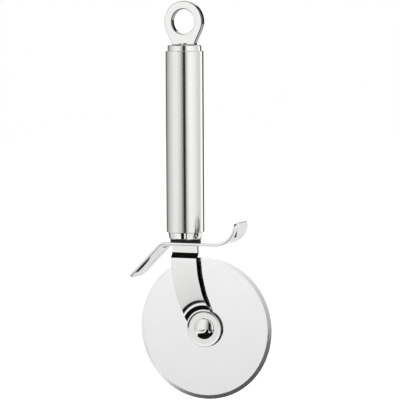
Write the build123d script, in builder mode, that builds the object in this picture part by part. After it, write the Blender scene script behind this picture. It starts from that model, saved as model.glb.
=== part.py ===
from build123d import *
import os
from math import asin, cos, radians, sin, sqrt, tan

# A hand-held pizza cutter: a round steel handle with a hanging eye, a finger
# guard across its lower end, and a one-sided arm that carries the wheel.
#
# Frame: the origin is the centre of the hanging eye's hole, +Z runs up along
# the handle's axis, the wheel turns about an axis along Y, and the arm passes
# in front of the wheel on its -Y side. All lengths are in millimetres.

# ---------------------------------------------------------------- dimensions
# hanging eye
eye_outer_r = 11.5
eye_hole_r = 7.0
eye_thick = 4.0
eye_foot_half = 7.0
eye_foot_z = -12.95
eye_edge_r = 0.5
stud_r = 3.0
stud_bottom_z = -25.5

# handle tube and its caps
tube_r = 10.75
tube_bore_r = 9.55
tube_top_z = -16.3
tube_bottom_z = -117.9
cap_skirt_r = 7.2
top_cap_wall_z = -16.8
top_cap_skirt_z = -29.0
bottom_cap_skirt_z = -104.0
bottom_cap_wall_z = -117.6
bottom_cap_z = -121.8
bottom_cap_rim_r = 9.85
bottom_cap_foot_r = 9.2
seal_minor_r = 0.65
seal_groove_w = 1.9
top_seal_z = -23.5
bottom_seal_z = -109.5

# nut and lock washer on the eye's stud
lock_washer_t = 1.3
lock_washer_r = 5.0
nut_flats = 10.0
nut_t = 5.0

# sealing washer between the bottom cap and the guard
pad_r = 8.55
guard_top_z = -123.2

# finger guard: a strip bent in the XZ plane
guard_t = 1.5
guard_w = 19.6
guard_corner_r = 4.6
guard_edge_r = 0.35
tongue_corner_x = -11.5
tongue_bend_r = 4.2
tongue_end_x = -31.7
rest_start_x = 21.4
rest_r = 13.0
rest_turn = 78.0
rest_run = 3.2
dish_depth = 1.3
tongue_dish_len = 22.0
tongue_dish_w = 14.5
tongue_dish_x = 14.4
rest_dish_turn = 69.0
rest_dish_r = 6.5
rest_dish_w = 14.5

# cutter arm: one strip with a tang, a jog forward and a step back at its eye
arm_t = 1.5
tang_half = 5.0
tang_top_z = -98.0
arm_front_y = -0.75
arm_low_front_y = -3.45
jog_z = -129.1
jog_turn = 42.0
bend_in_r = 1.2
hub_x = 11.88
hub_z = -171.85
arm_eye_r = 10.3
arm_eye_front_y = -1.95
step_r0 = 9.6
step_in_r = 6.0
step_out_r = 12.0
step_turn = 22.0

# plug in the handle that holds the tang
core_r = cap_skirt_r
core_top_z = -94.0
pin_r = 1.5
pin_half = 6.2
pin_zs = (-107.0, -113.5)

# wheel, axle and washers
wheel_r = 40.0
wheel_t = 1.2
wheel_front_y = -0.2
bevel_w = 2.2
edge_land = 0.14
axle_r = 3.0
axle_gap = 0.05
bush_r = 4.6
washer_r = 6.2
head_r = 5.95
head_h = 2.5
head_dome_r = 11.0
head_round_r = 0.9
rear_head_r = 5.6
rear_head_t = 1.9

arm_eye_back_y = arm_eye_front_y + arm_t
wheel_back_y = wheel_front_y + wheel_t
front_washer_back_y = wheel_front_y - 0.05
rear_washer_front_y = wheel_back_y + 0.05
rear_washer_back_y = rear_washer_front_y + 0.3
guard_bottom_z = guard_top_z - guard_t

os.makedirs("parts", exist_ok=True)

hub_axis = Axis((hub_x, 0, hub_z), (0, 1, 0))


def write(name, piece):
    piece.part.label = name
    export_step(piece.part, f"parts/{name}.step")


# ---------------------------------------------------------------- hanging eye
# A flat ring whose sides run down as tangents to a narrower foot on the cap.
foot_top_z = eye_foot_z + 1.6
foot_dist = sqrt(eye_foot_half**2 + foot_top_z**2)
with BuildPart() as hang_eye:
    with BuildSketch(Plane.XZ.offset(-eye_thick / 2)) as eye_outline:
        Circle(eye_outer_r)
        with BuildLine():
            right = Line(
                (eye_outer_r * cos(radians(-24)), eye_outer_r * sin(radians(-24))),
                (eye_foot_half + 0.25, foot_top_z),
            )
            foot = Polyline(
                right @ 1,
                (eye_foot_half, foot_top_z - 0.7),
                (eye_foot_half, eye_foot_z),
                (-eye_foot_half, eye_foot_z),
                (-eye_foot_half, foot_top_z - 0.7),
                (-eye_foot_half - 0.25, foot_top_z),
            )
            left = Line(
                foot @ 1,
                (-eye_outer_r * cos(radians(-24)), eye_outer_r * sin(radians(-24))),
            )
            Line(left @ 1, right @ 0)
        make_face()
    extrude(amount=eye_thick)
    with BuildSketch(Plane.XZ.offset(-eye_thick)):
        Circle(eye_hole_r)
    extrude(amount=2 * eye_thick, mode=Mode.SUBTRACT)
    face_edges = [
        e
        for e in hang_eye.edges()
        if abs(abs(e.center().Y) - eye_thick / 2) < 1e-3
        and e.bounding_box().min.Z > eye_foot_z - 1e-3
        and not (abs(e.center().Z - eye_foot_z) < 1e-3)
    ]
    fillet(face_edges, eye_edge_r)
    with BuildSketch(Plane.XY.offset(stud_bottom_z)):
        Circle(stud_r)
    extrude(amount=eye_foot_z + 1.0 - stud_bottom_z)
    chamfer(hang_eye.edges().group_by(Axis.Z)[0], 0.5)
write("hang_eye", hang_eye)

# ---------------------------------------------------------------- top cap
# A turned cup: end wall, skirt inside the tube, groove for the seal.
with BuildPart() as top_cap:
    with BuildSketch(Plane.XZ):
        with BuildLine():
            Polyline(
                (stud_r + 0.05, eye_foot_z),
                (tube_bore_r, eye_foot_z),
                (tube_bore_r, top_seal_z + seal_groove_w / 2),
                (tube_bore_r - 2 * seal_minor_r, top_seal_z + seal_groove_w / 2),
                (tube_bore_r - 2 * seal_minor_r, top_seal_z - seal_groove_w / 2),
                (tube_bore_r, top_seal_z - seal_groove_w / 2),
                (tube_bore_r, top_cap_skirt_z),
                (cap_skirt_r, top_cap_skirt_z),
                (cap_skirt_r, top_cap_wall_z),
                (stud_r + 0.05, top_cap_wall_z),
                close=True,
            )
        make_face()
    revolve(axis=Axis.Z)
    fillet(
        top_cap.edges()
        .filter_by(GeomType.CIRCLE)
        .filter_by(lambda e: abs(e.radius - tube_bore_r) < 1e-6)
        .group_by(Axis.Z)[-1],
        0.9,
    )
    chamfer(
        top_cap.edges()
        .filter_by(GeomType.CIRCLE)
        .filter_by(lambda e: abs(e.radius - tube_bore_r) < 1e-6)
        .group_by(Axis.Z)[0],
        0.6,
    )
write("top_cap", top_cap)

# split lock washer and nut on the stud, inside the cap
with BuildPart() as eye_lock_washer:
    with BuildSketch(Plane.XY.offset(top_cap_wall_z - lock_washer_t)):
        Circle(lock_washer_r)
        Circle(stud_r + 0.05, mode=Mode.SUBTRACT)
    extrude(amount=lock_washer_t)
    with BuildSketch(Plane.XZ.offset(-1.0)):
        with Locations((lock_washer_r - 1.0, top_cap_wall_z - lock_washer_t / 2)):
            Rectangle(4.0, 0.35, rotation=20)
    extrude(amount=2.0, mode=Mode.SUBTRACT)
    with BuildSketch(Plane.XY.offset(top_cap_wall_z - lock_washer_t - 0.5)):
        with Locations((lock_washer_r - 1.0, 0)):
            Rectangle(4.0, 0.5, rotation=8)
    extrude(amount=lock_washer_t + 1.0, mode=Mode.SUBTRACT)
write("eye_lock_washer", eye_lock_washer)

nut_top_z = top_cap_wall_z - lock_washer_t
with BuildPart() as eye_nut:
    with BuildSketch(Plane.XY.offset(nut_top_z - nut_t)):
        RegularPolygon(nut_flats / 2, 6, major_radius=False)
        Circle(stud_r, mode=Mode.SUBTRACT)
    extrude(amount=nut_t)
    # the corners are turned off at 30 degrees on both faces
    corner_r = nut_flats / 2 / cos(radians(30))
    with BuildSketch(Plane.XZ):
        with BuildLine():
            Polyline(
                (0, nut_top_z + 0.01),
                (nut_flats / 2 + 0.05, nut_top_z + 0.01),
                (corner_r + 0.1, nut_top_z - 0.45),
                (corner_r + 0.1, nut_top_z - nut_t + 0.45),
                (nut_flats / 2 + 0.05, nut_top_z - nut_t - 0.01),
                (0, nut_top_z - nut_t - 0.01),
                close=True,
            )
        make_face()
    revolve(axis=Axis.Z, mode=Mode.INTERSECT)
write("eye_nut", eye_nut)

# ---------------------------------------------------------------- handle tube
with BuildPart() as handle_tube:
    with BuildSketch(Plane.XY.offset(tube_bottom_z)):
        Circle(tube_r)
        Circle(tube_bore_r, mode=Mode.SUBTRACT)
    extrude(amount=tube_top_z - tube_bottom_z)
    fillet(
        handle_tube.edges()
        .filter_by(GeomType.CIRCLE)
        .filter_by(lambda e: abs(e.radius - tube_r) < 1e-6),
        0.3,
    )
write("handle_tube", handle_tube)

# ---------------------------------------------------------------- bottom cap
# Like the top cap, but it tapers outside the tube and has a slot for the tang.
with BuildPart() as bottom_cap:
    with BuildSketch(Plane.XZ):
        with BuildLine():
            Polyline(
                (0, bottom_cap_wall_z),
                (cap_skirt_r, bottom_cap_wall_z),
                (cap_skirt_r, bottom_cap_skirt_z),
                (tube_bore_r, bottom_cap_skirt_z),
                (tube_bore_r, bottom_seal_z + seal_groove_w / 2),
                (tube_bore_r - 2 * seal_minor_r, bottom_seal_z + seal_groove_w / 2),
                (tube_bore_r - 2 * seal_minor_r, bottom_seal_z - seal_groove_w / 2),
                (tube_bore_r, bottom_seal_z - seal_groove_w / 2),
                (tube_bore_r, tube_bottom_z - 0.05),
                (bottom_cap_rim_r, tube_bottom_z - 0.05),
                (bottom_cap_foot_r, bottom_cap_z),
                (0, bottom_cap_z),
                close=True,
            )
        make_face()
    revolve(axis=Axis.Z)
    fillet(
        bottom_cap.edges().filter_by(GeomType.CIRCLE).group_by(Axis.Z)[0],
        0.8,
    )
    chamfer(
        bottom_cap.edges()
        .filter_by(GeomType.CIRCLE)
        .filter_by(lambda e: abs(e.radius - tube_bore_r) < 1e-6)
        .group_by(Axis.Z)[-1],
        0.6,
    )
    with BuildSketch(Plane.XY.offset(bottom_cap_z - 1)):
        Rectangle(2 * tang_half, arm_t)
    extrude(amount=bottom_cap_wall_z - bottom_cap_z + 2, mode=Mode.SUBTRACT)
write("bottom_cap", bottom_cap)


# O-rings in the grooves of the two caps
def o_ring(z):
    with BuildPart() as ring:
        with BuildSketch(Plane.XZ):
            with Locations((tube_bore_r - seal_minor_r, z)):
                Circle(seal_minor_r)
        revolve(axis=Axis.Z)
    return ring


top_seal = o_ring(top_seal_z)
write("top_seal", top_seal)
bottom_seal = o_ring(bottom_seal_z)
write("bottom_seal", bottom_seal)

# ---------------------------------------------------------------- tang plug
with BuildPart() as tang_core:
    with BuildSketch(Plane.XY.offset(bottom_cap_wall_z)):
        Circle(core_r)
    extrude(amount=core_top_z - bottom_cap_wall_z)
    chamfer(tang_core.edges().group_by(Axis.Z)[-1], 0.8)
    with BuildSketch(Plane.XY.offset(bottom_cap_wall_z - 1)):
        Rectangle(2 * tang_half, arm_t)
    extrude(amount=tang_top_z - bottom_cap_wall_z + 1, mode=Mode.SUBTRACT)
    with BuildSketch(Plane.XZ.offset(-core_r - 1)):
        with Locations(*[(0, z) for z in pin_zs]):
            Circle(pin_r)
    extrude(amount=2 * core_r + 2, mode=Mode.SUBTRACT)
write("tang_core", tang_core)

with BuildPart() as tang_pins:
    with BuildSketch(Plane.XZ.offset(-pin_half)):
        with Locations(*[(0, z) for z in pin_zs]):
            Circle(pin_r)
    extrude(amount=2 * pin_half)
    chamfer(tang_pins.edges().filter_by(GeomType.CIRCLE), 0.3)
write("tang_pins", tang_pins)

# ---------------------------------------------------------------- sealing washer
with BuildPart() as seal_washer:
    with BuildSketch(Plane.XY.offset(guard_top_z)):
        Circle(pad_r)
        Rectangle(2 * tang_half, arm_t, mode=Mode.SUBTRACT)
    extrude(amount=bottom_cap_z - guard_top_z)
write("seal_washer", seal_washer)

# ---------------------------------------------------------------- finger guard
# The strip's section in the XZ plane: flat under the handle, a tongue bent
# down at 45 degrees on one side, an arc up to the thumb rest on the other.
q = radians(45)
bend_run = tongue_bend_r * tan(q / 2)
turn = radians(rest_turn)
tongue_top = (tongue_end_x, guard_top_z + tongue_end_x - tongue_corner_x)
tongue_low = (tongue_top[0] + guard_t * sin(q), tongue_top[1] - guard_t * cos(q))
inner_bend = tongue_bend_r - guard_t
inner_corner_x = tongue_corner_x + guard_t * tan(q / 2)
inner_run = inner_bend * tan(q / 2)
rest_centre = (rest_start_x, guard_bottom_z + rest_r)


def rest_point(radius, angle):
    return (rest_centre[0] + radius * sin(angle), rest_centre[1] - radius * cos(angle))


def bend_point(corner_x, z, run, s):
    return (corner_x - run * s * cos(q), z - run * s * sin(q))


rest_low = rest_point(rest_r, turn)
rest_high = rest_point(rest_r - guard_t, turn)
run_x, run_z = rest_run * cos(turn), rest_run * sin(turn)


# The dishes are barrels about an axis along Y: radius reach at the middle, and
# an outline of radius curve along Y. A barrel can be cut off above a height.
def dish_cap(middle, reach, curve, width, cut_plane=None):
    half = width / 2 + 1.0
    drop = curve - sqrt(curve**2 - half**2)
    with BuildPart() as barrel:
        with BuildSketch(Plane(middle)):
            with BuildLine():
                side = ThreePointArc(
                    (reach - drop, -half), (reach, 0), (reach - drop, half)
                )
                Polyline(side @ 1, (0, half), (0, -half), side @ 0)
            make_face()
        revolve(axis=Axis(middle, (0, 1, 0)))
        if cut_plane:
            split(bisect_by=cut_plane, keep=Keep.BOTTOM)
    return barrel.part


# plane of the tongue's upper face: X up the tongue from its end, Z outwards
tongue_plane = Plane(
    origin=(tongue_end_x, 0, tongue_top[1]),
    x_dir=(cos(q), 0, sin(q)),
    z_dir=(-sin(q), 0, cos(q)),
)
dish_a = ((tongue_dish_len / 2) ** 2 + dish_depth**2) / (2 * dish_depth)
dish_b = ((tongue_dish_w / 2) ** 2 + dish_depth**2) / (2 * dish_depth)
dish_middle = tongue_plane.from_local_coords(
    (tongue_dish_x, 0, dish_a - guard_t - dish_depth)
)
tongue_bulge = dish_cap(
    dish_middle, dish_a, dish_b, tongue_dish_w, tongue_plane.offset(0.05 - guard_t)
)
tongue_hollow = dish_cap(
    dish_middle,
    dish_a - guard_t,
    dish_b - guard_t,
    tongue_dish_w,
    tongue_plane.offset(0.6),
)

rest_b = ((rest_dish_w / 2) ** 2 + dish_depth**2) / (2 * dish_depth)
rest_middle = rest_point(rest_r + dish_depth - rest_dish_r, radians(rest_dish_turn))
rest_middle = (rest_middle[0], 0, rest_middle[1])
rest_barrel = dish_cap(rest_middle, rest_dish_r, rest_b, rest_dish_w)
with BuildPart() as rest_bulge:
    add(rest_barrel)
    with BuildSketch(Plane.XZ.offset(-guard_w)):
        with Locations(rest_centre):
            Circle(rest_r - 0.05)
    extrude(amount=2 * guard_w, mode=Mode.SUBTRACT)
rest_hollow = dish_cap(rest_middle, rest_dish_r - guard_t, rest_b - guard_t, rest_dish_w)

with BuildPart() as finger_guard:
    with BuildSketch(Plane.XZ.offset(-guard_w / 2)):
        with BuildLine():
            flat_top = Line(
                (tongue_corner_x + bend_run, guard_top_z), (rest_start_x, guard_top_z)
            )
            rest_in = ThreePointArc(
                flat_top @ 1, rest_point(rest_r - guard_t, turn / 2), rest_high
            )
            Polyline(
                rest_in @ 1,
                (rest_high[0] + run_x, rest_high[1] + run_z),
                (rest_low[0] + run_x, rest_low[1] + run_z),
                rest_low,
            )
            rest_out = ThreePointArc(
                rest_low,
                rest_point(rest_r, turn / 2),
                (rest_start_x, guard_bottom_z),
            )
            flat_low = Line(
                rest_out @ 1, (inner_corner_x + inner_run, guard_bottom_z)
            )
            inner_arc = TangentArc(
                flat_low @ 1,
                bend_point(inner_corner_x, guard_bottom_z, inner_run, 1),
                tangent=(-1, 0),
            )
            Polyline(inner_arc @ 1, tongue_low, tongue_top)
            outer_line = Line(
                tongue_top, bend_point(tongue_corner_x, guard_top_z, bend_run, 1)
            )
            TangentArc(outer_line @ 1, flat_top @ 0, tangent=(cos(q), sin(q)))
        make_face()
    extrude(amount=guard_w)
    # plan of the tongue, square to it, with rounded corners
    with BuildSketch(tongue_plane.offset(-6)):
        Rectangle(60, 60)
        with BuildLine():
            FilletPolyline(
                (90, -guard_w / 2),
                (0, -guard_w / 2),
                (0, guard_w / 2),
                (90, guard_w / 2),
                radius=guard_corner_r,
                close=False,
            )
            Line((90, guard_w / 2), (90, -guard_w / 2))
        make_face(mode=Mode.SUBTRACT)
    extrude(amount=12, mode=Mode.SUBTRACT)
    # plan of the thumb rest, seen along +X
    rest_top_z = rest_low[1] + run_z + 1e-3
    with BuildSketch(Plane.YZ.offset(rest_start_x + 6)):
        with Locations((0, rest_top_z)):
            Rectangle(60, 14)
        with BuildLine():
            FilletPolyline(
                (-guard_w / 2, rest_top_z - 30),
                (-guard_w / 2, rest_top_z - 0.25),
                (guard_w / 2, rest_top_z - 0.25),
                (guard_w / 2, rest_top_z - 30),
                radius=guard_corner_r,
                close=False,
            )
            Line(
                (guard_w / 2, rest_top_z - 30), (-guard_w / 2, rest_top_z - 30)
            )
        make_face(mode=Mode.SUBTRACT)
    extrude(amount=14, mode=Mode.SUBTRACT)
    fillet(finger_guard.edges(), guard_edge_r)
    # both dishes are pressed out of the strip's underside
    add(tongue_bulge)
    add(tongue_hollow, mode=Mode.SUBTRACT)
    add(rest_bulge.part)
    add(rest_hollow, mode=Mode.SUBTRACT)
    # slot for the tang
    with BuildSketch(Plane.XY.offset(guard_bottom_z - 1)):
        Rectangle(2 * tang_half, arm_t)
    extrude(amount=guard_t + 2, mode=Mode.SUBTRACT)
write("finger_guard", finger_guard)

# ---------------------------------------------------------------- cutter arm
jt = radians(jog_turn)
bend_out_r = bend_in_r + arm_t
jog_step = arm_front_y - arm_low_front_y
jog_run = (jog_step - (bend_in_r + bend_out_r) * (1 - cos(jt))) / sin(jt)
jog_end_z = jog_z - (bend_in_r + bend_out_r) * sin(jt) - jog_run * cos(jt)
arm_back_y = arm_front_y + arm_t
arm_low_back_y = arm_low_front_y + arm_t
blend_z = -150.0

st = radians(step_turn)
step_h = arm_eye_front_y - arm_low_front_y
step_line = (step_h - (step_in_r + step_out_r) * (1 - cos(st))) / sin(st)
step_r1 = step_r0 + (step_in_r + step_out_r) * sin(st) + step_line * cos(st)


def on_arc(centre, radius, angle, du, dv):
    return (centre[0] + du * radius * sin(angle), centre[1] + dv * radius * cos(angle))


with BuildPart() as cutter_arm:
    # lower end: a turned shape about the axle, so that the step back to the
    # wheel runs in arcs around the eye
    c1 = (step_r0, arm_eye_front_y - step_in_r)
    c2 = (step_r1, arm_low_front_y + step_out_r)
    with BuildSketch(Plane(origin=(hub_x, 0, hub_z))):
        with BuildLine():
            f0 = Line((0, arm_eye_front_y), (step_r0, arm_eye_front_y))
            f1 = ThreePointArc(
                f0 @ 1,
                on_arc(c1, step_in_r, st / 2, 1, 1),
                on_arc(c1, step_in_r, st, 1, 1),
            )
            f2 = Line(f1 @ 1, on_arc(c2, step_out_r, st, -1, -1))
            f3 = ThreePointArc(
                f2 @ 1,
                on_arc(c2, step_out_r, st / 2, -1, -1),
                (step_r1, arm_low_front_y),
            )
            r_back1 = step_in_r + arm_t
            r_back2 = step_out_r - arm_t
            b = Polyline(
                f3 @ 1,
                (30, arm_low_front_y),
                (30, arm_low_back_y),
                (step_r1, arm_low_back_y),
            )
            b3 = ThreePointArc(
                b @ 1,
                on_arc(c2, r_back2, st / 2, -1, -1),
                on_arc(c2, r_back2, st, -1, -1),
            )
            b2 = Line(b3 @ 1, on_arc(c1, r_back1, st, 1, 1))
            b1 = ThreePointArc(
                b2 @ 1,
                on_arc(c1, r_back1, st / 2, 1, 1),
                (step_r0, arm_eye_back_y),
            )
            Polyline(b1 @ 1, (0, arm_eye_back_y), (0, arm_eye_front_y))
        make_face()
    revolve(axis=hub_axis)
    # upper end: the jog, a section in the YZ plane run across the strip
    j1 = (arm_front_y - bend_in_r, jog_z)
    j2 = (arm_low_front_y + bend_out_r, jog_end_z)

    def jog(centre, radius, angle, side):
        return (centre[0] + side * radius * cos(angle), centre[1] - side * radius * sin(angle))

    with BuildSketch(Plane.YZ.offset(-12)):
        with BuildLine():
            g0 = Line((arm_front_y, tang_top_z), (arm_front_y, jog_z))
            g1 = ThreePointArc(g0 @ 1, jog(j1, bend_in_r, jt / 2, 1), jog(j1, bend_in_r, jt, 1))
            g2 = Line(g1 @ 1, jog(j2, bend_out_r, jt, -1))
            g3 = ThreePointArc(
                g2 @ 1, jog(j2, bend_out_r, jt / 2, -1), (arm_low_front_y, jog_end_z)
            )
            g4 = Polyline(
                g3 @ 1,
                (arm_low_front_y, blend_z),
                (arm_low_back_y, blend_z),
                (arm_low_back_y, jog_end_z),
            )
            g5 = ThreePointArc(g4 @ 1, jog(j2, bend_in_r, jt / 2, -1), jog(j2, bend_in_r, jt, -1))
            g6 = Line(g5 @ 1, jog(j1, bend_out_r, jt, 1))
            g7 = ThreePointArc(g6 @ 1, jog(j1, bend_out_r, jt / 2, 1), (arm_back_y, jog_z))
            Polyline(g7 @ 1, (arm_back_y, tang_top_z), (arm_front_y, tang_top_z))
        make_face()
    extrude(amount=36)
    # outline of the arm, seen from the front
    with BuildSketch(Plane.XZ.offset(-8)) as outline:
        with BuildLine():
            right_edge = Spline(
                (7.65, guard_bottom_z - 2),
                (7.95, -132.5),
                (8.35, -136.8),
                (8.88, -141.9),
                (10.1, -147.45),
                (11.6, -153.0),
                (14.0, -158.55),
                (16.2, -162.8),
                (18.6, -166.8),
                tangents=((0, -1), (0.55, -1)),
            )
            left_edge = Spline(
                (hub_x - arm_eye_r, hub_z),
                (1.68, -168.8),
                (0.55, -166.4),
                (-0.15, -164.3),
                (-2.3, -159.3),
                (-4.2, -153.95),
                (-5.85, -146.7),
                (-7.5, -135.5),
                (-7.95, guard_bottom_z - 2),
                tangents=((0, 1), (0, 1)),
            )
            Polyline(
                left_edge @ 1,
                (-7.95, guard_bottom_z),
                (-tang_half, guard_bottom_z),
                (-tang_half, tang_top_z),
                (tang_half, tang_top_z),
                (tang_half, guard_bottom_z),
                (7.65, guard_bottom_z),
                (7.65, guard_bottom_z - 2),
            )
            Polyline(right_edge @ 1, (hub_x, hub_z), left_edge @ 0)
        make_face()
        with Locations((hub_x, hub_z)):
            Circle(arm_eye_r)
    extrude(amount=16, mode=Mode.INTERSECT)
    # axle hole and pin holes
    with BuildSketch(Plane.XZ.offset(-10)):
        with Locations((hub_x, hub_z)):
            Circle(axle_r)
        with Locations(*[(0, z) for z in pin_zs]):
            Circle(pin_r)
    extrude(amount=20, mode=Mode.SUBTRACT)
write("cutter_arm", cutter_arm)

# ---------------------------------------------------------------- axle rivet
dome_y = arm_eye_front_y - head_h + head_dome_r
round_x = head_r - head_round_r
round_y = dome_y - sqrt((head_dome_r - head_round_r) ** 2 - round_x**2)
meet_angle = asin(round_x / (head_dome_r - head_round_r))
rivet_end_y = rear_washer_back_y + rear_head_t - 0.35


def on_dome(angle):
    return (head_dome_r * sin(angle), dome_y - head_dome_r * cos(angle))


with BuildPart() as axle_rivet:
    with BuildSketch(Plane(origin=(hub_x, 0, hub_z))):
        with BuildLine():
            base = arm_eye_front_y
            dome = ThreePointArc(
                (0, base - head_h), on_dome(meet_angle / 2), on_dome(meet_angle)
            )
            half_way = (meet_angle + radians(90)) / 2
            brim = ThreePointArc(
                dome @ 1,
                (
                    round_x + head_round_r * sin(half_way),
                    round_y - head_round_r * cos(half_way),
                ),
                (head_r, round_y),
            )
            Polyline(
                brim @ 1,
                (head_r, base),
                (axle_r, base),
                (axle_r, rivet_end_y),
                (0, rivet_end_y),
                (0, base - head_h),
            )
        make_face()
    revolve(axis=hub_axis)
write("axle_rivet", axle_rivet)

# rear head, set on the shank's end
with BuildPart() as rivet_cap:
    y0 = rear_washer_back_y
    with BuildSketch(Plane(origin=(hub_x, 0, hub_z))):
        with BuildLine():
            crown = ThreePointArc(
                (axle_r, y0 + rear_head_t),
                (4.6, y0 + rear_head_t - 0.28),
                (rear_head_r, y0 + 0.7),
            )
            Polyline(
                crown @ 1,
                (rear_head_r, y0),
                (axle_r, y0),
                (axle_r, y0 + rear_head_t),
            )
        make_face()
    revolve(axis=hub_axis)
write("rivet_cap", rivet_cap)


# ---------------------------------------------------------------- washers, bush
def ring_about_hub(inner, outer, y0, y1):
    with BuildPart() as ring:
        with BuildSketch(Plane.XZ.offset(-y1)):
            with Locations((hub_x, hub_z)):
                Circle(outer)
                Circle(inner, mode=Mode.SUBTRACT)
        extrude(amount=y1 - y0)
    return ring


front_washer = ring_about_hub(
    axle_r + axle_gap, washer_r, arm_eye_back_y, front_washer_back_y
)
write("front_washer", front_washer)
rear_washer = ring_about_hub(
    axle_r + axle_gap, washer_r, rear_washer_front_y, rear_washer_back_y
)
write("rear_washer", rear_washer)
axle_bush = ring_about_hub(axle_r + axle_gap, bush_r, wheel_front_y, wheel_back_y)
write("axle_bush", axle_bush)

# ---------------------------------------------------------------- cutting wheel
mid_y = (wheel_front_y + wheel_back_y) / 2
with BuildPart() as cutting_wheel:
    with BuildSketch(Plane(origin=(hub_x, 0, hub_z))):
        with BuildLine():
            Polyline(
                (bush_r, wheel_front_y),
                (wheel_r - bevel_w, wheel_front_y),
                (wheel_r, mid_y - edge_land / 2),
                (wheel_r, mid_y + edge_land / 2),
                (wheel_r - bevel_w, wheel_back_y),
                (bush_r, wheel_back_y),
                close=True,
            )
        make_face()
    revolve(axis=hub_axis)
write("cutting_wheel", cutting_wheel)
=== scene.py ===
from math import atan2, cos, hypot, pi, radians, sin, sqrt, tan

import bpy
import numpy as np
from mathutils import Matrix, Vector
from mathutils.geometry import delaunay_2d_cdt


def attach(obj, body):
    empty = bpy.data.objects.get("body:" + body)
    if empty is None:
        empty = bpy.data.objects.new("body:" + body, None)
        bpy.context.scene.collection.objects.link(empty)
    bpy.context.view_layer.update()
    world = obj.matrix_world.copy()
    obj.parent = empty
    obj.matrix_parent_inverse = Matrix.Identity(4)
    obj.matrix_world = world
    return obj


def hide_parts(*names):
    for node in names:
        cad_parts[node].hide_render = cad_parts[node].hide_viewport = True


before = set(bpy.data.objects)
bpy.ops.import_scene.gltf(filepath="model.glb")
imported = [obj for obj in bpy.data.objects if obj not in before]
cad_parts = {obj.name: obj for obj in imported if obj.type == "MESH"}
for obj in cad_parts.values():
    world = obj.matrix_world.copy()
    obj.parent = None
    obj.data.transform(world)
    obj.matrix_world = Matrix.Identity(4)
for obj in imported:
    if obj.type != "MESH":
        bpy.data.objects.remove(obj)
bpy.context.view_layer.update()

scene = bpy.context.scene
MM = 0.001

# ------------------------------------------------------------------ camera
AZ, EL, ROLL = radians(23.8), radians(4.2), radians(0.31)
TARGET, REACH = Vector((0.00897, 0.0, -0.0997)), 1.4
back = Vector((sin(AZ) * cos(EL), -cos(AZ) * cos(EL), sin(EL)))
right0 = (-back).cross(Vector((0, 0, 1))).normalized()
up0 = right0.cross(-back)
cam_right = right0 * cos(ROLL) - up0 * sin(ROLL)
cam_up = up0 * cos(ROLL) + right0 * sin(ROLL)
camera = bpy.data.objects.new("camera", bpy.data.cameras.new("camera"))
scene.collection.objects.link(camera)
camera.data.lens = 225.0
camera.data.sensor_width = 36.0
camera.data.clip_start, camera.data.clip_end = 0.05, 30.0
pose = Matrix.Identity(4)
for i, column in enumerate((cam_right, cam_up, back, TARGET + back * REACH)):
    for j in range(3):
        pose[j][i] = column[j]
camera.matrix_world = pose
scene.camera = camera
scene.view_settings.view_transform = "Standard"
scene.view_settings.look = "None"


# ------------------------------------------------------------------ node help
def new_node(tree, kind, **values):
    node = tree.nodes.new(kind)
    for key, value in values.items():
        setattr(node, key, value)
    return node


def put(tree, socket, value):
    """A socket takes a number, a colour or another node's output."""
    if isinstance(value, bpy.types.NodeSocket):
        tree.links.new(value, socket)
    else:
        socket.default_value = value


def maths(tree, operation, a, b=0.0, c=0.0, clamp=False):
    node = new_node(tree, "ShaderNodeMath", operation=operation, use_clamp=clamp)
    put(tree, node.inputs[0], a)
    put(tree, node.inputs[1], b)
    put(tree, node.inputs[2], c)
    return node.outputs[0]


def vector_maths(tree, operation, a, b=(0, 0, 0)):
    node = new_node(tree, "ShaderNodeVectorMath", operation=operation)
    put(tree, node.inputs[0], a)
    put(tree, node.inputs[1], b)
    return node


def ramp(tree, value, stops, smooth=False):
    """A curve of grey values or colours over 0..1."""
    node = new_node(tree, "ShaderNodeValToRGB")
    node.color_ramp.interpolation = "EASE" if smooth else "LINEAR"
    elements = node.color_ramp.elements
    for i, (place, level) in enumerate(stops):
        e = elements[i] if i < 2 else elements.new(place)
        e.position = place
        e.color = (
            (level, level, level, 1) if not isinstance(level, tuple) else (*level, 1)
        )
    put(tree, node.inputs[0], value)
    return node.outputs[0]


def map_range(tree, value, a, b, c, d, smooth=False):
    node = new_node(
        tree,
        "ShaderNodeMapRange",
        interpolation_type="SMOOTHSTEP" if smooth else "LINEAR",
        clamp=True,
    )
    for i, v in enumerate((value, a, b, c, d)):
        put(tree, node.inputs[i], v)
    return node.outputs[0]


def mix(tree, share, a, b):
    node = new_node(tree, "ShaderNodeMix", data_type="FLOAT")
    put(tree, node.inputs[0], share)
    put(tree, node.inputs[2], a)
    put(tree, node.inputs[3], b)
    return node.outputs[0]


def noise(tree, vector, scale, detail=2.0, rough=0.5):
    node = new_node(tree, "ShaderNodeTexNoise")
    put(tree, node.inputs["Vector"], vector)
    put(tree, node.inputs["Scale"], scale)
    put(tree, node.inputs["Detail"], detail)
    put(tree, node.inputs["Roughness"], rough)
    return node.outputs["Fac"]


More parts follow.
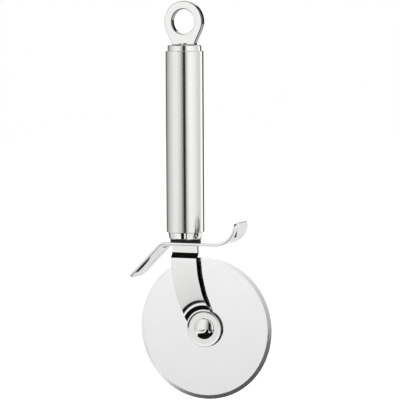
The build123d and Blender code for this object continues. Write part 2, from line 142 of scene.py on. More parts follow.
# ------------------------------------------------------------------ studio
# A soft studio all round the object: two tall diffusers either side of a narrow
# dark slot, a pale sweep behind, dark corners, a low gap and a pale table.
world = bpy.data.worlds.new("studio")
scene.world = world
world.use_nodes = True
wt = world.node_tree
wt.nodes.clear()
toward = Vector((sin(AZ), -cos(AZ), 0))
side = Vector((cos(AZ), sin(AZ), 0))
direction = new_node(wt, "ShaderNodeTexCoord").outputs["Generated"]
direction = vector_maths(wt, "NORMALIZE", direction).outputs[0]
d_side = vector_maths(wt, "DOT_PRODUCT", direction, tuple(side)).outputs["Value"]
d_toward = vector_maths(wt, "DOT_PRODUCT", direction, tuple(toward)).outputs["Value"]
split = new_node(wt, "ShaderNodeSeparateXYZ")
put(wt, split.inputs[0], direction)
turn_deg = maths(
    wt, "MULTIPLY", maths(wt, "ARCTAN2", d_side, d_toward), 180 / pi
)
rise_deg = maths(wt, "MULTIPLY", maths(wt, "ARCSINE", split.outputs[2]), 180 / pi)
around = maths(wt, "MULTIPLY_ADD", turn_deg, 1 / 360, 0.5)


def at(degrees):
    return degrees / 360 + 0.5


panels = ramp(
    wt,
    around,
    [(at(a), v) for a, v in (
        (-180, 1.05), (-164, 1.05), (-157, 0.04), (-143, 0.04), (-137, 0.33),
        (-108, 0.60), (-86, 0.80), (-66, 0.96), (-45, 0.98), (-34, 0.87),
        (-27, 0.72), (-15, 0.40), (-11, 0.20), (-7, 0.01), (2, 0.01),
        (6, 0.42), (14, 0.82), (20, 1.0), (33, 1.13), (59, 1.02), (73, 0.88),
        (90, 0.76), (104, 0.72), (112, 1.1), (126, 1.3), (129, 0.03),
        (157, 0.03), (163, 1.05),
    )],
)
gap = ramp(
    wt,
    around,
    [(at(a), v) for a, v in (
        (-180, 0.75), (-152, 0.6), (-142, 0.05), (-126, 0.4), (-112, 0.75),
        (-80, 0.8), (-64, 0.5), (-52, 0.1), (-46, 0.01), (55, 0.01),
        (60, 0.3), (92, 0.36), (99, 0.7), (122, 0.85), (180, 0.78),
    )],
)
table = ramp(
    wt,
    around,
    [(at(a), v) for a, v in (
        (-180, 0.75), (-155, 0.6), (-142, 0.05), (-125, 0.1), (-112, 0.9),
        (-90, 1.0), (-1, 1.0), (2.5, 0.02), (7.5, 0.02), (11, 0.9), (54, 0.9),
        (60, 0.36), (90, 0.36), (97, 0.8), (120, 0.85), (180, 0.78),
    )],
)
# the pale table's edge runs in an arc on the left, in front of the object
reach = maths(
    wt, "SQRT",
    maths(
        wt, "ADD",
        maths(wt, "POWER", maths(wt, "ADD", rise_deg, 4.2), 2.0),
        maths(wt, "POWER", maths(wt, "MULTIPLY", maths(wt, "ADD", turn_deg, 47.6), 0.95), 2.0),
    ),
)
arc = maths(wt, "SUBTRACT", -4.2, reach)
arc_share = maths(
    wt, "MULTIPLY",
    map_range(wt, rise_deg, -8.5, -6.0, 1.0, 0.0, True),
    maths(
        wt, "MULTIPLY",
        map_range(wt, turn_deg, -48.0, -47.0, 0.0, 1.0, True),
        map_range(wt, turn_deg, -14.0, -8.0, 1.0, 0.0, True),
    ),
)
fall_deg = mix(wt, arc_share, rise_deg, arc)
low = map_range(wt, fall_deg, -20.6, -19.0, 1.0, 0.0, True)
mid = ramp(
    wt,
    maths(wt, "MULTIPLY_ADD", fall_deg, 1 / 40, 1.0),
    [(0.0, 0.0), (0.575, 0.0), (0.625, 0.25), (0.70, 0.55), (0.78, 0.80),
     (0.86, 0.94), (0.92, 1.0), (1.0, 1.0)],
)
behind = map_range(wt, maths(wt, "ABSOLUTE", turn_deg), 84.0, 118.0, 0.0, 15.5, True)
floor_end = map_range(
    wt, maths(wt, "ADD", fall_deg, behind), -29.5, -26.8, 0.0, 1.0, True
)
# the roof is dark to both sides only
sideways = maths(wt, "ABSOLUTE", maths(wt, "SUBTRACT", maths(wt, "ABSOLUTE", turn_deg), 96.0))
roof_dark = map_range(wt, sideways, 42.0, 56.0, 1.0, 0.15, True)
roof = maths(
    wt, "SUBTRACT", 1.0,
    maths(wt, "MULTIPLY", roof_dark, map_range(wt, rise_deg, 44.0, 53.0, 0.0, 1.0, True)),
)
lower = mix(wt, low, gap, maths(wt, "MULTIPLY", table, floor_end))
level = maths(wt, "MULTIPLY", mix(wt, mid, lower, panels), roof)
# a low card behind on the right lights the guard's undersides
card = maths(
    wt, "MULTIPLY",
    map_range(wt, turn_deg, 116.0, 124.0, 0.0, 0.86, True),
    maths(
        wt, "MULTIPLY",
        map_range(wt, rise_deg, -24.0, -21.0, 0.0, 1.0, True),
        map_range(wt, rise_deg, -7.6, -5.8, 1.0, 0.0, True),
    ),
)
level = maths(wt, "MAXIMUM", level, card)
# and a dark slanting gap in the sweep behind
aside = maths(
    wt, "ABSOLUTE",
    maths(wt, "SUBTRACT", turn_deg, maths(wt, "MULTIPLY_ADD", rise_deg, 0.83, 181.2)),
)
slit = maths(
    wt, "MULTIPLY",
    map_range(wt, aside, 3.2, 4.8, 0.95, 0.0, True),
    maths(
        wt, "MULTIPLY",
        map_range(wt, rise_deg, -20.0, -17.5, 0.0, 1.0, True),
        map_range(wt, rise_deg, -8.0, -6.5, 1.0, 0.0, True),
    ),
)
level = maths(wt, "MULTIPLY", level, maths(wt, "SUBTRACT", 1.0, slit))
level = maths(wt, "MAXIMUM", level, 0.006)
seen = new_node(wt, "ShaderNodeLightPath").outputs["Is Camera Ray"]
strength = mix(wt, seen, level, 1.0)
studio = new_node(wt, "ShaderNodeBackground")
studio.inputs["Color"].default_value = (1.0, 1.0, 0.995, 1)
put(wt, studio.inputs["Strength"], strength)
wt.links.new(studio.outputs[0], new_node(wt, "ShaderNodeOutputWorld").inputs[0])


# ------------------------------------------------------------------ materials
def object_place(tree):
    return new_node(tree, "ShaderNodeTexCoord").outputs["Object"]


def stretched(tree, place, factors):
    return vector_maths(tree, "MULTIPLY", place, factors).outputs[0]


def material(name):
    m = bpy.data.materials.new(name)
    m.use_nodes = True
    tree = m.node_tree
    tree.nodes.clear()
    shader = new_node(tree, "ShaderNodeBsdfPrincipled")
    tree.links.new(
        shader.outputs[0], new_node(tree, "ShaderNodeOutputMaterial").inputs[0]
    )
    return m, tree, shader


def tint(tree, shader, value, dark, light):
    node = new_node(tree, "ShaderNodeMix", data_type="RGBA")
    put(tree, node.inputs[0], value)
    node.inputs[6].default_value = (*dark, 1)
    node.inputs[7].default_value = (*light, 1)
    tree.links.new(node.outputs[2], shader.inputs["Base Color"])
    return node.outputs[2]


def bump(tree, shader, height, depth, strength=1.0):
    node = new_node(tree, "ShaderNodeBump")
    node.inputs["Strength"].default_value = strength
    node.inputs["Distance"].default_value = depth
    put(tree, node.inputs["Height"], height)
    tree.links.new(node.outputs[0], shader.inputs["Normal"])


def paint_edge_shade(tree, shader, colour, stops, shade, across=None, foot=None):
    """Painted shade: the faces along Y stay polished; the edges and sides between
    them are painted darker, standing in for the dark reflections and shade they catch.
    stops: how dark against the share of Y in the surface's normal; across: the
    same for its share of X; foot: heights between which a painted shadow darkens a foot."""
    facing = new_node(tree, "ShaderNodeSeparateXYZ")
    put(tree, facing.inputs[0], new_node(tree, "ShaderNodeNewGeometry").outputs["Normal"])
    side = ramp(tree, maths(tree, "ABSOLUTE", facing.outputs[1]), stops)
    if across:
        turned = maths(tree, "ABSOLUTE", facing.outputs[0])
        side = maths(tree, "MAXIMUM", side, map_range(tree, turned, *across, 0.0, 1.0, True))
    if foot:
        height = new_node(tree, "ShaderNodeSeparateXYZ")
        put(tree, height.inputs[0], object_place(tree))
        side = maths(
            tree, "MAXIMUM", side, map_range(tree, height.outputs[2], *foot, 1.0, 0.0, True)
        )
    # mix the painted dark edge colour over the steel's own colour
    node = new_node(tree, "ShaderNodeMix", data_type="RGBA")
    put(tree, node.inputs[0], side)
    tree.links.new(colour, node.inputs[6])
    node.inputs[7].default_value = (*shade, 1)
    tree.links.new(node.outputs[2], shader.inputs["Base Color"])


def brushed_metal(
    name, dark, light, grain, scale, rough, depth, aniso=0.0, turn=0.0, axis=None, edges=None
):
    """Steel with fine brush lines; grain stretches the lines along one way."""
    m, tree, shader = material(name)
    place = object_place(tree)
    lines = noise(tree, stretched(tree, place, grain), scale, 4.0, 0.65)
    cloud = noise(tree, place, 140.0, 3.0)
    blend = mix(tree, 0.25, lines, cloud)
    colour = tint(tree, shader, blend, dark, light)
    # painted shade on the edges and sides, when asked for
    if edges:
        paint_edge_shade(tree, shader, colour, *edges)
    put(tree, shader.inputs["Metallic"], 1.0)
    put(
        tree,
        shader.inputs["Roughness"],
        map_range(tree, blend, 0.3, 0.7, rough[0], rough[1]),
    )
    bump(tree, shader, lines, depth)
    if aniso:
        shader.inputs["Anisotropic"].default_value = aniso
        shader.inputs["Anisotropic Rotation"].default_value = turn
        tangent = new_node(tree, "ShaderNodeTangent", direction_type="RADIAL", axis=axis)
        tree.links.new(tangent.outputs[0], shader.inputs["Tangent"])
    return m


def polished_metal(name, dark, light, rough, depth, edges=None):
    m, tree, shader = material(name)
    place = object_place(tree)
    cloud = noise(tree, place, 220.0, 3.0, 0.6)
    swirl = noise(tree, stretched(tree, place, (1.0, 1.0, 0.12)), 5200.0, 3.0, 0.6)
    colour = tint(tree, shader, mix(tree, 0.3, cloud, swirl), dark, light)
    # painted shade on the edges and sides, when asked for
    if edges:
        paint_edge_shade(tree, shader, colour, *edges)
    put(tree, shader.inputs["Metallic"], 1.0)
    put(
        tree,
        shader.inputs["Roughness"],
        map_range(tree, mix(tree, 0.5, cloud, swirl), 0.3, 0.7, rough[0], rough[1]),
    )
    bump(tree, shader, swirl, depth)
    return m


satin_tube = brushed_metal(
    "satin_tube", (0.83, 0.83, 0.81), (0.90, 0.90, 0.88), (60, 60, 3200), 1.0,
    (0.12, 0.18), 0.0000015, 0.7, 0.25, "Z",
)
# the ring's edges are painted dark grey as a painted dark reflection, and a painted shadow line runs across its foot
# where it sits on the top cap
satin_ring = brushed_metal(
    "satin_ring", (0.84, 0.84, 0.83), (0.95, 0.95, 0.94), (500, 900, 3600), 1.0,
    (0.10, 0.16), 0.0000015, edges=(
        [(0.0, 0.7), (0.25, 0.75), (0.5, 1.0), (0.82, 1.0), (0.97, 0.0)],
        (0.16, 0.16, 0.16), None, (-0.0128, -0.0124),
    ),
)
mirror_steel = polished_metal(
    "mirror_steel", (0.84, 0.84, 0.83), (0.90, 0.90, 0.89), (0.025, 0.05), 0.0000003
)
# the arm's edges and its sides facing X are painted near black: a painted dark reflection and painted shade in the gap
# beside the wheel
arm_steel = polished_metal(
    "arm_steel", (0.84, 0.84, 0.83), (0.90, 0.90, 0.89), (0.025, 0.05), 0.0000003,
    ([(0.0, 1.0), (0.40, 1.0), (0.66, 0.0)], (0.06, 0.06, 0.06), (0.30, 0.42)),
)
plain_steel = brushed_metal(
    "plain_steel", (0.52, 0.52, 0.52), (0.66, 0.66, 0.65), (2500, 2500, 2500), 1.0,
    (0.28, 0.42), 0.000004,
)
core_metal = brushed_metal(
    "core_aluminium", (0.62, 0.62, 0.63), (0.78, 0.78, 0.79), (300, 300, 4000), 1.0,
    (0.32, 0.45), 0.000005,
)


def blade_material():
    """Fine satin faces, and a ground bevel with grinding lines round the rim."""
    m, tree, shader = material("blade_steel")
    place = object_place(tree)
    speckle = noise(tree, stretched(tree, place, (900, 900, 1800)), 1.0, 4.0, 0.7)
    cloud = noise(tree, place, 90.0, 3.0)
    from_hub = vector_maths(
        tree, "SUBTRACT", place, (HUB[0] * MM, 0, HUB[1] * MM)
    ).outputs[0]
    flat = stretched(tree, from_hub, (1, 0, 1))
    radius = vector_maths(tree, "LENGTH", flat).outputs["Value"]
    ground = map_range(tree, radius, 0.03775, 0.03785, 0.0, 1.0)
    parts = new_node(tree, "ShaderNodeSeparateXYZ")
    put(tree, parts.inputs[0], from_hub)
    angle = maths(tree, "ARCTAN2", parts.outputs[2], parts.outputs[0])
    joined = new_node(tree, "ShaderNodeCombineXYZ")
    put(tree, joined.inputs[0], maths(tree, "MULTIPLY", radius, 1500.0))
    put(tree, joined.inputs[1], maths(tree, "MULTIPLY", angle, 160.0))
    grind = noise(tree, joined.outputs[0], 1.0, 3.0, 0.6)
    surface = mix(tree, ground, mix(tree, 0.3, speckle, cloud), grind)
    face = map_range(tree, surface, 0.3, 0.7, 0.0, 1.0)
    tint(tree, shader, face, (0.915, 0.92, 0.915), (0.985, 0.99, 0.985))
    put(tree, shader.inputs["Metallic"], 1.0)
    put(
        tree,
        shader.inputs["Roughness"],
        mix(
            tree,
            ground,
            map_range(tree, speckle, 0.3, 0.7, 0.025, 0.05),
            map_range(tree, grind, 0.3, 0.7, 0.17, 0.24),
        ),
    )
    bump(tree, shader, surface, 0.0000012)
    return m


HUB = (11.88, -171.85)
blade_steel = blade_material()


def rubber_material():
    m, tree, shader = material("black_rubber")
    place = object_place(tree)
    grain = noise(tree, place, 4200.0, 3.0, 0.6)
    cloud = noise(tree, place, 260.0, 2.0)
    tint(tree, shader, mix(tree, 0.5, grain, cloud), (0.006, 0.006, 0.006), (0.016, 0.016, 0.016))
    shader.inputs["Specular IOR Level"].default_value = 0.3
    put(tree, shader.inputs["Roughness"], map_range(tree, grain, 0.3, 0.7, 0.45, 0.65))
    bump(tree, shader, grain, 0.00001)
    return m


def plastic_material():
    m, tree, shader = material("bush_plastic")
    place = object_place(tree)
    grain = noise(tree, place, 3000.0, 3.0, 0.6)
    tint(tree, shader, grain, (0.06, 0.06, 0.06), (0.11, 0.11, 0.11))
    put(tree, shader.inputs["Roughness"], map_range(tree, grain, 0.3, 0.7, 0.35, 0.5))
    bump(tree, shader, grain, 0.000008)
    return m


black_rubber = rubber_material()
bush_plastic = plastic_material()

finish_of = {
    "hang_eye": satin_ring,
    "handle_tube": satin_tube,
    "top_cap": mirror_steel,
    "bottom_cap": mirror_steel,
    "seal_washer": black_rubber,
    "top_seal": black_rubber,
    "bottom_seal": black_rubber,
    "finger_guard": mirror_steel,
    "cutter_arm": arm_steel,
    "axle_rivet": mirror_steel,
    "rivet_cap": mirror_steel,
    "cutting_wheel": blade_steel,
    "axle_bush": bush_plastic,
    "front_washer": plain_steel,
    "rear_washer": plain_steel,
    "eye_nut": plain_steel,
    "eye_lock_washer": plain_steel,
    "tang_pins": plain_steel,
    "tang_core": core_metal,
}
for node, finish in finish_of.items():
    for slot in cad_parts[node].material_slots:
        slot.material = finish


# ------------------------------------------------------------------ mesh code
def unit(v):
    return v / np.maximum(np.linalg.norm(v, axis=-1, keepdims=True), 1e-12)


def mesh_object(name, points, faces, normals, finish):
    mesh = bpy.data.meshes.new(name)
    mesh.from_pydata([tuple(p) for p in points], [], faces)
    mesh.polygons.foreach_set("use_smooth", [True] * len(mesh.polygons))
    mesh.update()
    if normals is not None:
        mesh.normals_split_custom_set_from_vertices([tuple(n) for n in normals])
    mesh.materials.append(finish)
    obj = bpy.data.objects.new(name, mesh)
    scene.collection.objects.link(obj)
    return obj


def ring_normals(loop):
    """Outward normals of a closed counter-clockwise 2-D loop."""
    t = np.roll(loop, -1, 0) - np.roll(loop, 1, 0)
    return unit(np.stack([t[:, 1], -t[:, 0]], -1))


def inside(points, loop):
    """Which points are inside a closed 2-D loop."""
    x, y = points[:, 0][:, None], points[:, 1][:, None]
    x0, y0 = loop[:, 0][None], loop[:, 1][None]
    x1, y1 = np.roll(loop, -1, 0)[:, 0][None], np.roll(loop, -1, 0)[:, 1][None]
    cross = (y0 > y) != (y1 > y)
    with np.errstate(divide="ignore", invalid="ignore"):
        at_x = x0 + (y - y0) * (x1 - x0) / (y1 - y0)
    return (cross & (x < at_x)).sum(1) % 2 == 1


def distance_to(points, loop):
    a, b = loop, np.roll(loop, -1, 0)
    best = np.full(len(points), 1e9)
    for p, q in zip(a, b):
        d = q - p
        s = np.clip(((points - p) @ d) / max(d @ d, 1e-12), 0, 1)
        best = np.minimum(best, np.linalg.norm(points - (p + s[:, None] * d), axis=1))
    return best


def plate(name, outline, holes, place, thick, edge, inner, finish, steps=5, mirrored=False):
    """A closed strip of constant thickness with rounded edges.
    outline: its plan as a counter-clockwise 2-D loop; place(p, q, h): where a point
    of the plan lies at height h; inner: plan points to fill it with."""
    out_n = ring_normals(outline)
    rim = outline - out_n * edge

    def tangent_frame(pq, h):
        e = 1e-3
        dp = (place(pq[:, 0] + e, pq[:, 1], h) - place(pq[:, 0] - e, pq[:, 1], h)) / (2 * e)
        dq = (place(pq[:, 0], pq[:, 1] + e, h) - place(pq[:, 0], pq[:, 1] - e, h)) / (2 * e)
        up = unit(place(pq[:, 0], pq[:, 1], h + e) - place(pq[:, 0], pq[:, 1], h))
        n = unit(np.cross(dp, dq))
        n = n * np.sign((n * up).sum(1))[:, None]
        return dp, dq, n

    pts, nrm, faces = [], [], []
    count = 0

    def add_points(p, n):
        nonlocal count
        pts.append(p)
        nrm.append(n)
        count += len(p)
        return count - len(p)

    # fill of the plan, used for both faces
    keep = inside(inner, rim) & (distance_to(inner, rim) > 0.12)
    for hole in holes:
        keep &= ~inside(inner, hole) & (distance_to(inner, hole) > 0.12)
    fill = inner[keep]
    loops = [rim] + list(holes)
    flat = np.concatenate(loops + [fill])
    edges, start = [], 0
    for loop in loops:
        k = len(loop)
        edges += [(start + i, start + (i + 1) % k) for i in range(k)]
        start += k
    made = delaunay_2d_cdt([Vector(map(float, p)) for p in flat], edges, [], 0, 1e-7)
    plan = np.array([tuple(v) for v in made[0]])
    tri = np.array([t for t in made[2] if len(t) == 3])
    middle = plan[tri].mean(1)
    good = inside(middle, rim)
    for hole in holes:
        good &= ~inside(middle, hole)
    tri = tri[good]
    a, b, c = (plan[tri[:, i]] for i in range(3))
    area = (b - a)[:, 0] * (c - a)[:, 1] - (b - a)[:, 1] * (c - a)[:, 0]
    tri[area < 0] = tri[area < 0][:, ::-1]
    tri = tri[np.abs(area) > 1e-9]
    # where each rim and hole point went
    lookup = {}
    for new, olds in enumerate(made[3]):
        for old in olds:
            lookup.setdefault(old, new)
    used = sorted(set(tri.ravel().tolist()))
    renumber = {u: i for i, u in enumerate(used)}
    plan_used = plan[used]
    tri = np.vectorize(renumber.get)(tri)

    k = len(outline)
    sides = []
    for top in (False, True):
        h_face = thick if top else 0.0
        _, _, n = tangent_frame(plan_used, np.full(len(plan_used), h_face))
        base = add_points(
            place(plan_used[:, 0], plan_used[:, 1], np.full(len(plan_used), h_face)),
            n if top else -n,
        )
        for t in tri:
            faces.append(tuple(base + i for i in (t if top else t[::-1])))
        ring = [base + renumber[lookup[i]] for i in range(k)]
        rows = [ring]
        for j in range(steps - 1, -1, -1):
            phi = pi / 2 * j / steps
            loop = outline - out_n * edge * (1 - cos(phi))
            h = edge * (1 - sin(phi))
            h = np.full(k, thick - h if top else h)
            dp, dq, n = tangent_frame(loop, h)
            across = dp * out_n[:, :1] + dq * out_n[:, 1:]
            t2 = np.stack([-out_n[:, 1], out_n[:, 0]], -1)
            along = dp * t2[:, :1] + dq * t2[:, 1:]
            o = unit(np.cross(along, n))
            o = o * np.sign((o * across).sum(1))[:, None]
            normal = cos(phi) * o + sin(phi) * (n if top else -n)
            first = add_points(place(loop[:, 0], loop[:, 1], h), unit(normal))
            rows.append([first + i for i in range(k)])
        for r0, r1 in zip(rows, rows[1:]):
            for i in range(k):
                q = (r0[i], r0[(i + 1) % k], r1[(i + 1) % k], r1[i])
                faces.append(q[::-1] if top else q)
        sides.append(rows[-1])
    for i in range(k):
        j = (i + 1) % k
        faces.append((sides[0][i], sides[0][j], sides[1][j], sides[1][i]))
    # walls of the holes, with their own corners
    for hole in holes:
        m = len(hole)
        n2 = ring_normals(hole)
        rows = []
        for h in (0.0, thick):
            hh = np.full(m, h)
            dp, dq, n = tangent_frame(hole, hh)
            across = dp * n2[:, :1] + dq * n2[:, 1:]
            first = add_points(place(hole[:, 0], hole[:, 1], hh), -unit(across))
            rows.append([first + i for i in range(m)])
        for i in range(m):
            j = (i + 1) % m
            faces.append((rows[0][j], rows[0][i], rows[1][i], rows[1][j]))
    points = np.concatenate(pts)
    normals = np.concatenate(nrm)
    if mirrored:
        faces = [f[::-1] for f in faces]
    return mesh_object(name, points * MM, faces, normals, finish)


def rounded_box(p0, p1, q0, q1, radii, gap):
    """Counter-clockwise loop; radii at (p0,q0), (p1,q0), (p1,q1), (p0,q1)."""
    corners = [(p0, q0, 1, 1, pi), (p1, q0, -1, 1, 1.5 * pi), (p1, q1, -1, -1, 0), (p0, q1, 1, -1, 0.5 * pi)]
    loop = []
    for (p, q, sp, sq, a0), r in zip(corners, radii):
        c = (p + sp * r, q + sq * r)
        n = max(3, int(r * pi / 2 / gap * 1.5))
        for i in range(n + 1):
            a = a0 + pi / 2 * i / n
            loop.append((c[0] + r * cos(a), c[1] + r * sin(a)))
    return even(np.array(loop), gap)


def even(loop, gap):
    """The same closed loop with no step longer than gap."""
    out = []
    for a, b in zip(loop, np.roll(loop, -1, 0)):
        n = max(1, int(np.ceil(np.linalg.norm(b - a) / gap)))
        if np.linalg.norm(b - a) < 1e-9:
            continue
        out += [a + (b - a) * i / n for i in range(n)]
    return np.array(out)


# ------------------------------------------------------------------ finger guard
GUARD_T, GUARD_W, GUARD_TOP = 1.5, 19.6, -123.2
TONGUE_CORNER_X, TONGUE_BEND_R, TONGUE_END_X = -11.5, 4.2, -31.7
REST_X, REST_R, REST_TURN, REST_RUN = 21.4, 13.0, radians(78.0), 3.2
Q = radians(45)
bend_in = TONGUE_BEND_R - GUARD_T
low_corner_x = TONGUE_CORNER_X + GUARD_T * tan(Q / 2)
tongue_low = np.array(
    [TONGUE_END_X + GUARD_T * sin(Q), GUARD_TOP + TONGUE_END_X - TONGUE_CORNER_X - GUARD_T * cos(Q)]
)
tongue_len = (TONGUE_CORNER_X - TONGUE_BEND_R * tan(Q / 2) * cos(Q) - TONGUE_END_X) / cos(Q)
bend_len = bend_in * Q
flat_x0 = low_corner_x + bend_in * tan(Q / 2)
flat_len = REST_X - flat_x0
rest_len = REST_R * REST_TURN
S1 = tongue_len
S2 = S1 + bend_len
S3 = S2 + flat_len
S4 = S3 + rest_len
S5 = S4 + REST_RUN
guard_low_z = GUARD_TOP - GUARD_T


def guard_line(s):
    """Underside line: (x, z), and the unit normal towards the upper face."""
    s = np.asarray(s, float)
    x = np.zeros_like(s)
    z = np.zeros_like(s)
    a = np.zeros_like(s)  # direction of travel above the horizon
    m = s <= S1
    x[m] = tongue_low[0] + s[m] * cos(Q)
    z[m] = tongue_low[1] + s[m] * sin(Q)
    a[m] = Q
    m = (s > S1) & (s <= S2)
    b = Q - (s[m] - S1) / bend_in
    cx, cz = flat_x0, guard_low_z - bend_in
    x[m] = cx - bend_in * np.sin(b)
    z[m] = cz + bend_in * np.cos(b)
    a[m] = b
    m = (s > S2) & (s <= S3)
    x[m] = flat_x0 + (s[m] - S2)
    z[m] = guard_low_z
    m = (s > S3) & (s <= S4)
    b = (s[m] - S3) / REST_R
    x[m] = REST_X + REST_R * np.sin(b)
    z[m] = guard_low_z + REST_R * (1 - np.cos(b))
    a[m] = b
    m = s > S4
    r = s[m] - S4
    x[m] = REST_X + REST_R * sin(REST_TURN) + r * cos(REST_TURN)
    z[m] = guard_low_z + REST_R * (1 - cos(REST_TURN)) + r * sin(REST_TURN)
    a[m] = REST_TURN
    return x, z, -np.sin(a), np.cos(a)


def step_up(t):
    t = np.clip(t, 0, 1)
    return t * t * (3 - 2 * t)


def rise(v, start, end):
    """Nought at start, one at end, soft at both."""
    return 0.5 * (1 - np.cos(pi * np.clip((v - start) / (end - start), 0, 1)))


def dish(s, y):
    """How far the strip is pressed out of its underside."""
    # tongue: a long pan, steep at its blunt upper end and along the near side of
    # its lower half, rounder at the lower end
    wall = 6.8 - 4.1 * np.exp(-(((s - 10.5) / 7.0) ** 2))
    far = 5.0 - 11.0 * (np.clip(10.0 - s, 0, 7.5) / 7.5) ** 2
    near = np.sin(pi / 2 * np.clip((y + 9.4) / wall, 0, 1))
    first = 0.85 * (
        rise(s, 1.4, 6.5) * rise(-s, -26.2, -25.0) * near * rise(-y, -far, -far + 4.4)
    )
    # thumb rest: a shorter pan across the curved end
    u = s - (S3 + REST_R * radians(69.0))
    rho = (np.clip(-u / 5.6, 0, 2) ** 2.4 + np.abs((y - 0.4) / 7.2) ** 2.4) ** (1 / 2.4)
    second = 0.66 * rise(-rho, -1.0, -0.72) * rise(-u, -6.3, 2.0)
    return first + second


def guard_place(s, y, h):
    x, z, nx, nz = guard_line(s)
    up = h - dish(s, y)
    return np.stack([x + nx * up, y + 0 * s, z + nz * up], -1)


guard_outline = rounded_box(
    0, S5, -GUARD_W / 2, GUARD_W / 2, (4.6, 4.6, 4.6, 4.6), 0.5
)
slot_s = S2 + (0 - flat_x0)
slot_hole = even(
    np.array(
        [(slot_s - 5, -0.75), (slot_s + 5, -0.75), (slot_s + 5, 0.75), (slot_s - 5, 0.75)]
    ),
    0.5,
)
ss, yy = np.meshgrid(np.arange(0.3, S5, 0.27), np.arange(-9.45, 9.46, 0.27))
guard = plate(
    "finger_guard_strip",
    guard_outline,
    [slot_hole],
    guard_place,
    GUARD_T,
    0.32,
    np.stack([ss.ravel(), yy.ravel()], -1),
    mirror_steel,
)
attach(guard, "cutter")
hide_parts("finger_guard")

# ------------------------------------------------------------------ cutter arm
STEP_BACK = 1.6
ARM_T, ARM_Y, ARM_EYE_Y = 1.5, -0.75, -1.95
ARM_LOW_Y = ARM_EYE_Y - STEP_BACK
JOG_Z, JOG_TURN, BEND_IN = -129.1, radians(42.0), 1.2
TANG_HALF, TANG_TOP, ARM_EYE_R = 5.0, -98.0, 10.3
PINS = (-107.0, -113.5)
AXLE_R = 3.0
bend_out = BEND_IN + ARM_T


def s_curve(height, inner, outer, turn):
    """An S in profile: inner-radius arc, straight, outer-radius arc.
    Returns its run and a function from place along the run to (drop, slope)."""
    straight = (height - (inner + outer) * (1 - cos(turn))) / sin(turn)
    run = (inner + outer) * sin(turn) + straight * cos(turn)

    def at_place(w):
        w = np.asarray(w, float)
        drop = np.zeros_like(w)
        slope = np.zeros_like(w)
        e1 = inner * sin(turn)
        e2 = e1 + straight * cos(turn)
        m = (w > 0) & (w <= e1)
        b = np.arcsin(np.clip(w[m] / inner, -1, 1))
        drop[m] = inner * (1 - np.cos(b))
        slope[m] = b
        m = (w > e1) & (w <= e2)
        drop[m] = inner * (1 - cos(turn)) + (w[m] - e1) * tan(turn)
        slope[m] = turn
        m = (w > e2) & (w < run)
        b = np.arcsin(np.clip((run - w[m]) / outer, -1, 1))
        drop[m] = height - outer * (1 - np.cos(b))
        slope[m] = b
        m = w >= run
        drop[m] = height
        return drop, slope

    return run, at_place


jog_run, jog_at = s_curve(ARM_Y - ARM_LOW_Y, BEND_IN, bend_out, JOG_TURN)

# slope of the front face against the distance from the axle, in degrees: flat
# round the eye, a soft step, and a slight bow of the long stretch above it
step_r = np.arange(0.0, 60.0, 0.02)
step_slope = np.interp(
    step_r,
    [0, 8.95, 9.25, 9.6, 10.15, 10.4, 10.65, 10.9, 11.4, 12.1, 12.7, 13.1, 13.4, 13.8, 14.15,
     14.5, 15.4, 16.15, 16.4, 18, 20, 26, 31, 36, 60],
    [0.0, 0.0, 6.2, 6.9, 7.3, 9.0, 11.0, 13.6, 15.5, 16.5, 15.5, 13.6, 11.0, 9.2, 7.9,
     7.3, 6.7, 6.4, 2.2, 1.6, 1.3, 0.8, 0.4, 0.0, 0.0],
)
step_slope = np.convolve(np.pad(step_slope, 5, mode="edge"), np.ones(11) / 11, "valid")
step_slope = np.tan(np.radians(step_slope))
step_slope *= STEP_BACK / (step_slope.sum() * 0.02)
step_drop = np.cumsum(step_slope) * 0.02


def arm_front(x, z):
    """The front face: its y, and the slopes of y along x and z."""
    y = np.zeros_like(x)
    gx = np.zeros_like(x)
    gz = np.zeros_like(x)
    upper = z > -134.5
    drop, slope = jog_at(JOG_Z - z[upper])
    y[upper] = ARM_Y - drop
    gz[upper] = np.tan(slope)
    m = ~upper
    dx, dz = x[m] - HUB[0], z[m] - HUB[1]
    r = np.hypot(dx, dz)
    y[m] = ARM_EYE_Y - np.interp(r, step_r, step_drop)
    g = -np.interp(r, step_r, step_slope)
    gx[m] = g * dx / np.maximum(r, 1e-6)
    gz[m] = g * dz / np.maximum(r, 1e-6)
    return y, gx, gz


def arm_place(x, z, h):
    x = np.asarray(x, float)
    z = np.asarray(z, float)
    y, gx, gz = arm_front(x, z)
    # backward normal of the surface y = f(x, z)
    n = unit(np.stack([-gx, np.ones_like(x), -gz], -1))
    return np.stack([x, y, z], -1) + n * np.asarray(h)[..., None]


def spline(points, t0, t1, count):
    """Cubic spline through 2-D points by chord length, with end directions."""
    p = np.array(points, float)
    d = np.linalg.norm(np.diff(p, axis=0), axis=1)
    u = np.concatenate([[0], np.cumsum(d)])
    n = len(p)
    a = np.zeros((n, n))
    b = np.zeros((n, 2))
    a[0, 0] = a[-1, -1] = 1
    b[0], b[-1] = unit(np.array(t0, float)), unit(np.array(t1, float))
    for i in range(1, n - 1):
        h0, h1 = d[i - 1], d[i]
        a[i, i - 1], a[i, i], a[i, i + 1] = h1, 2 * (h0 + h1), h0
        b[i] = 3 * (h1 * (p[i] - p[i - 1]) / h0 + h0 * (p[i + 1] - p[i]) / h1)
    m = np.linalg.solve(a, b)
    out = []
    for v in np.linspace(0, u[-1], count):
        i = min(np.searchsorted(u, v, side="right") - 1, n - 2)
        h = d[i]
        t = (v - u[i]) / h
        out.append(
            (2 * t**3 - 3 * t**2 + 1) * p[i]
            + (t**3 - 2 * t**2 + t) * h * m[i]
            + (-2 * t**3 + 3 * t**2) * p[i + 1]
            + (t**3 - t**2) * h * m[i + 1]
        )
    return np.array(out)


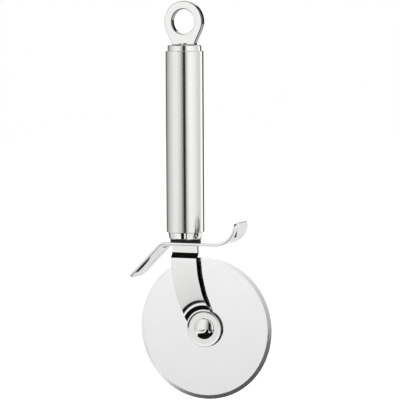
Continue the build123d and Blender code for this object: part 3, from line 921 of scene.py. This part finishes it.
right_edge = spline(
    [(7.65, guard_low_z - 2), (7.95, -132.5), (8.35, -136.8), (8.88, -141.9),
     (10.1, -147.45), (11.6, -153.0), (14.0, -158.55), (16.2, -162.8), (18.6, -166.8)],
    (0, -1), (0.55, -1), 140,
)
left_edge = spline(
    [(HUB[0] - ARM_EYE_R, HUB[1]), (1.68, -168.8), (0.55, -166.4), (-0.15, -164.3),
     (-2.3, -159.3), (-4.2, -153.95), (-5.85, -146.7), (-7.5, -135.5),
     (-7.95, guard_low_z - 2)],
    (0, 1), (0, 1), 150,
)
# the right edge ends where it meets the eye's circle, in a small hollow
reach = np.hypot(right_edge[:, 0] - HUB[0], right_edge[:, 1] - HUB[1])
last = int(np.argmax(reach < ARM_EYE_R + 0.5))
right_edge = right_edge[:last]
end = right_edge[-1]
end_angle = atan2(end[1] - HUB[1], end[0] - HUB[0])
meet = end_angle - radians(5.0)
circle = [
    (HUB[0] + ARM_EYE_R * cos(a), HUB[1] + ARM_EYE_R * sin(a))
    for a in np.linspace(meet, -pi, 130)[:-1]
]
joint = spline(
    [tuple(end), circle[0]],
    tuple(right_edge[-1] - right_edge[-2]),
    (sin(meet), -cos(meet)),
    8,
)[1:-1]
body_line = np.array(
    [(7.65, guard_low_z - 0.05)]
    + [tuple(p) for p in right_edge]
    + [tuple(p) for p in joint]
    + circle
    + [tuple(p) for p in left_edge]
    + [(-7.95, guard_low_z - 0.05)]
    + [(-TANG_HALF, guard_low_z - 0.05), (-TANG_HALF, TANG_TOP), (TANG_HALF, TANG_TOP), (TANG_HALF, guard_low_z - 0.05)]
)
arm_outline = even(body_line[::-1], 0.5)
signed = 0.5 * np.sum(
    arm_outline[:, 0] * np.roll(arm_outline[:, 1], -1)
    - arm_outline[:, 1] * np.roll(arm_outline[:, 0], -1)
)
if signed < 0:
    arm_outline = arm_outline[::-1]


def circle_loop(cx, cz, r, count):
    return np.array(
        [(cx + r * cos(2 * pi * i / count), cz + r * sin(2 * pi * i / count)) for i in range(count)]
    )


holes = [circle_loop(HUB[0], HUB[1], AXLE_R, 48)] + [circle_loop(0, z, 1.5, 28) for z in PINS]
inner = []
for z in np.arange(-124.9, -98.0, 0.8):
    inner += [(x, z) for x in np.arange(-7, 7.01, 0.8)]
for z in np.concatenate([np.arange(-133.6, -125.2, 0.22), np.arange(-156.0, -134.0, 0.5)]):
    inner += [(x, z) for x in np.arange(-9, 14.01, 0.6)]
for r in np.concatenate([np.arange(3.6, 9.4, 0.6), np.arange(9.5, 16.3, 0.18), np.arange(16.6, 24, 0.5)]):
    k = int(2 * pi * r / 0.5)
    ring = [(HUB[0] + r * cos(2 * pi * i / k), HUB[1] + r * sin(2 * pi * i / k)) for i in range(k)]
    inner += [p for p in ring if p[1] < -156.2]
inner = np.array(inner)
arm = plate(
    "cutter_arm_strip", arm_outline, holes, arm_place, ARM_T, 0.16, inner, arm_steel,
    mirrored=True,
)
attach(arm, "cutter")
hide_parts("cutter_arm")


# ------------------------------------------------------------------ floor
def floor_material():
    m, tree, shader = material("pale_floor")
    place = object_place(tree)
    cloud = noise(tree, place, 3.0, 3.0)
    tint(tree, shader, cloud, (0.93, 0.93, 0.925), (0.96, 0.96, 0.955))
    put(tree, shader.inputs["Roughness"], map_range(tree, cloud, 0.3, 0.7, 0.75, 0.9))
    shader.inputs["Emission Color"].default_value = (1, 1, 1, 1)
    shader.inputs["Emission Strength"].default_value = 0.75
    shader.inputs["Specular IOR Level"].default_value = 0.1
    return m


disc = circle_loop(0, 0, 4.0, 96)
floor_mesh = bpy.data.meshes.new("floor")
floor_mesh.from_pydata([(x, y, -0.262) for x, y in disc], [], [tuple(range(96))])
floor_mesh.materials.append(floor_material())
floor = bpy.data.objects.new("floor", floor_mesh)
scene.collection.objects.link(floor)
floor.visible_glossy = False

# ------------------------------------------------------------------ final update
bpy.context.view_layer.update()
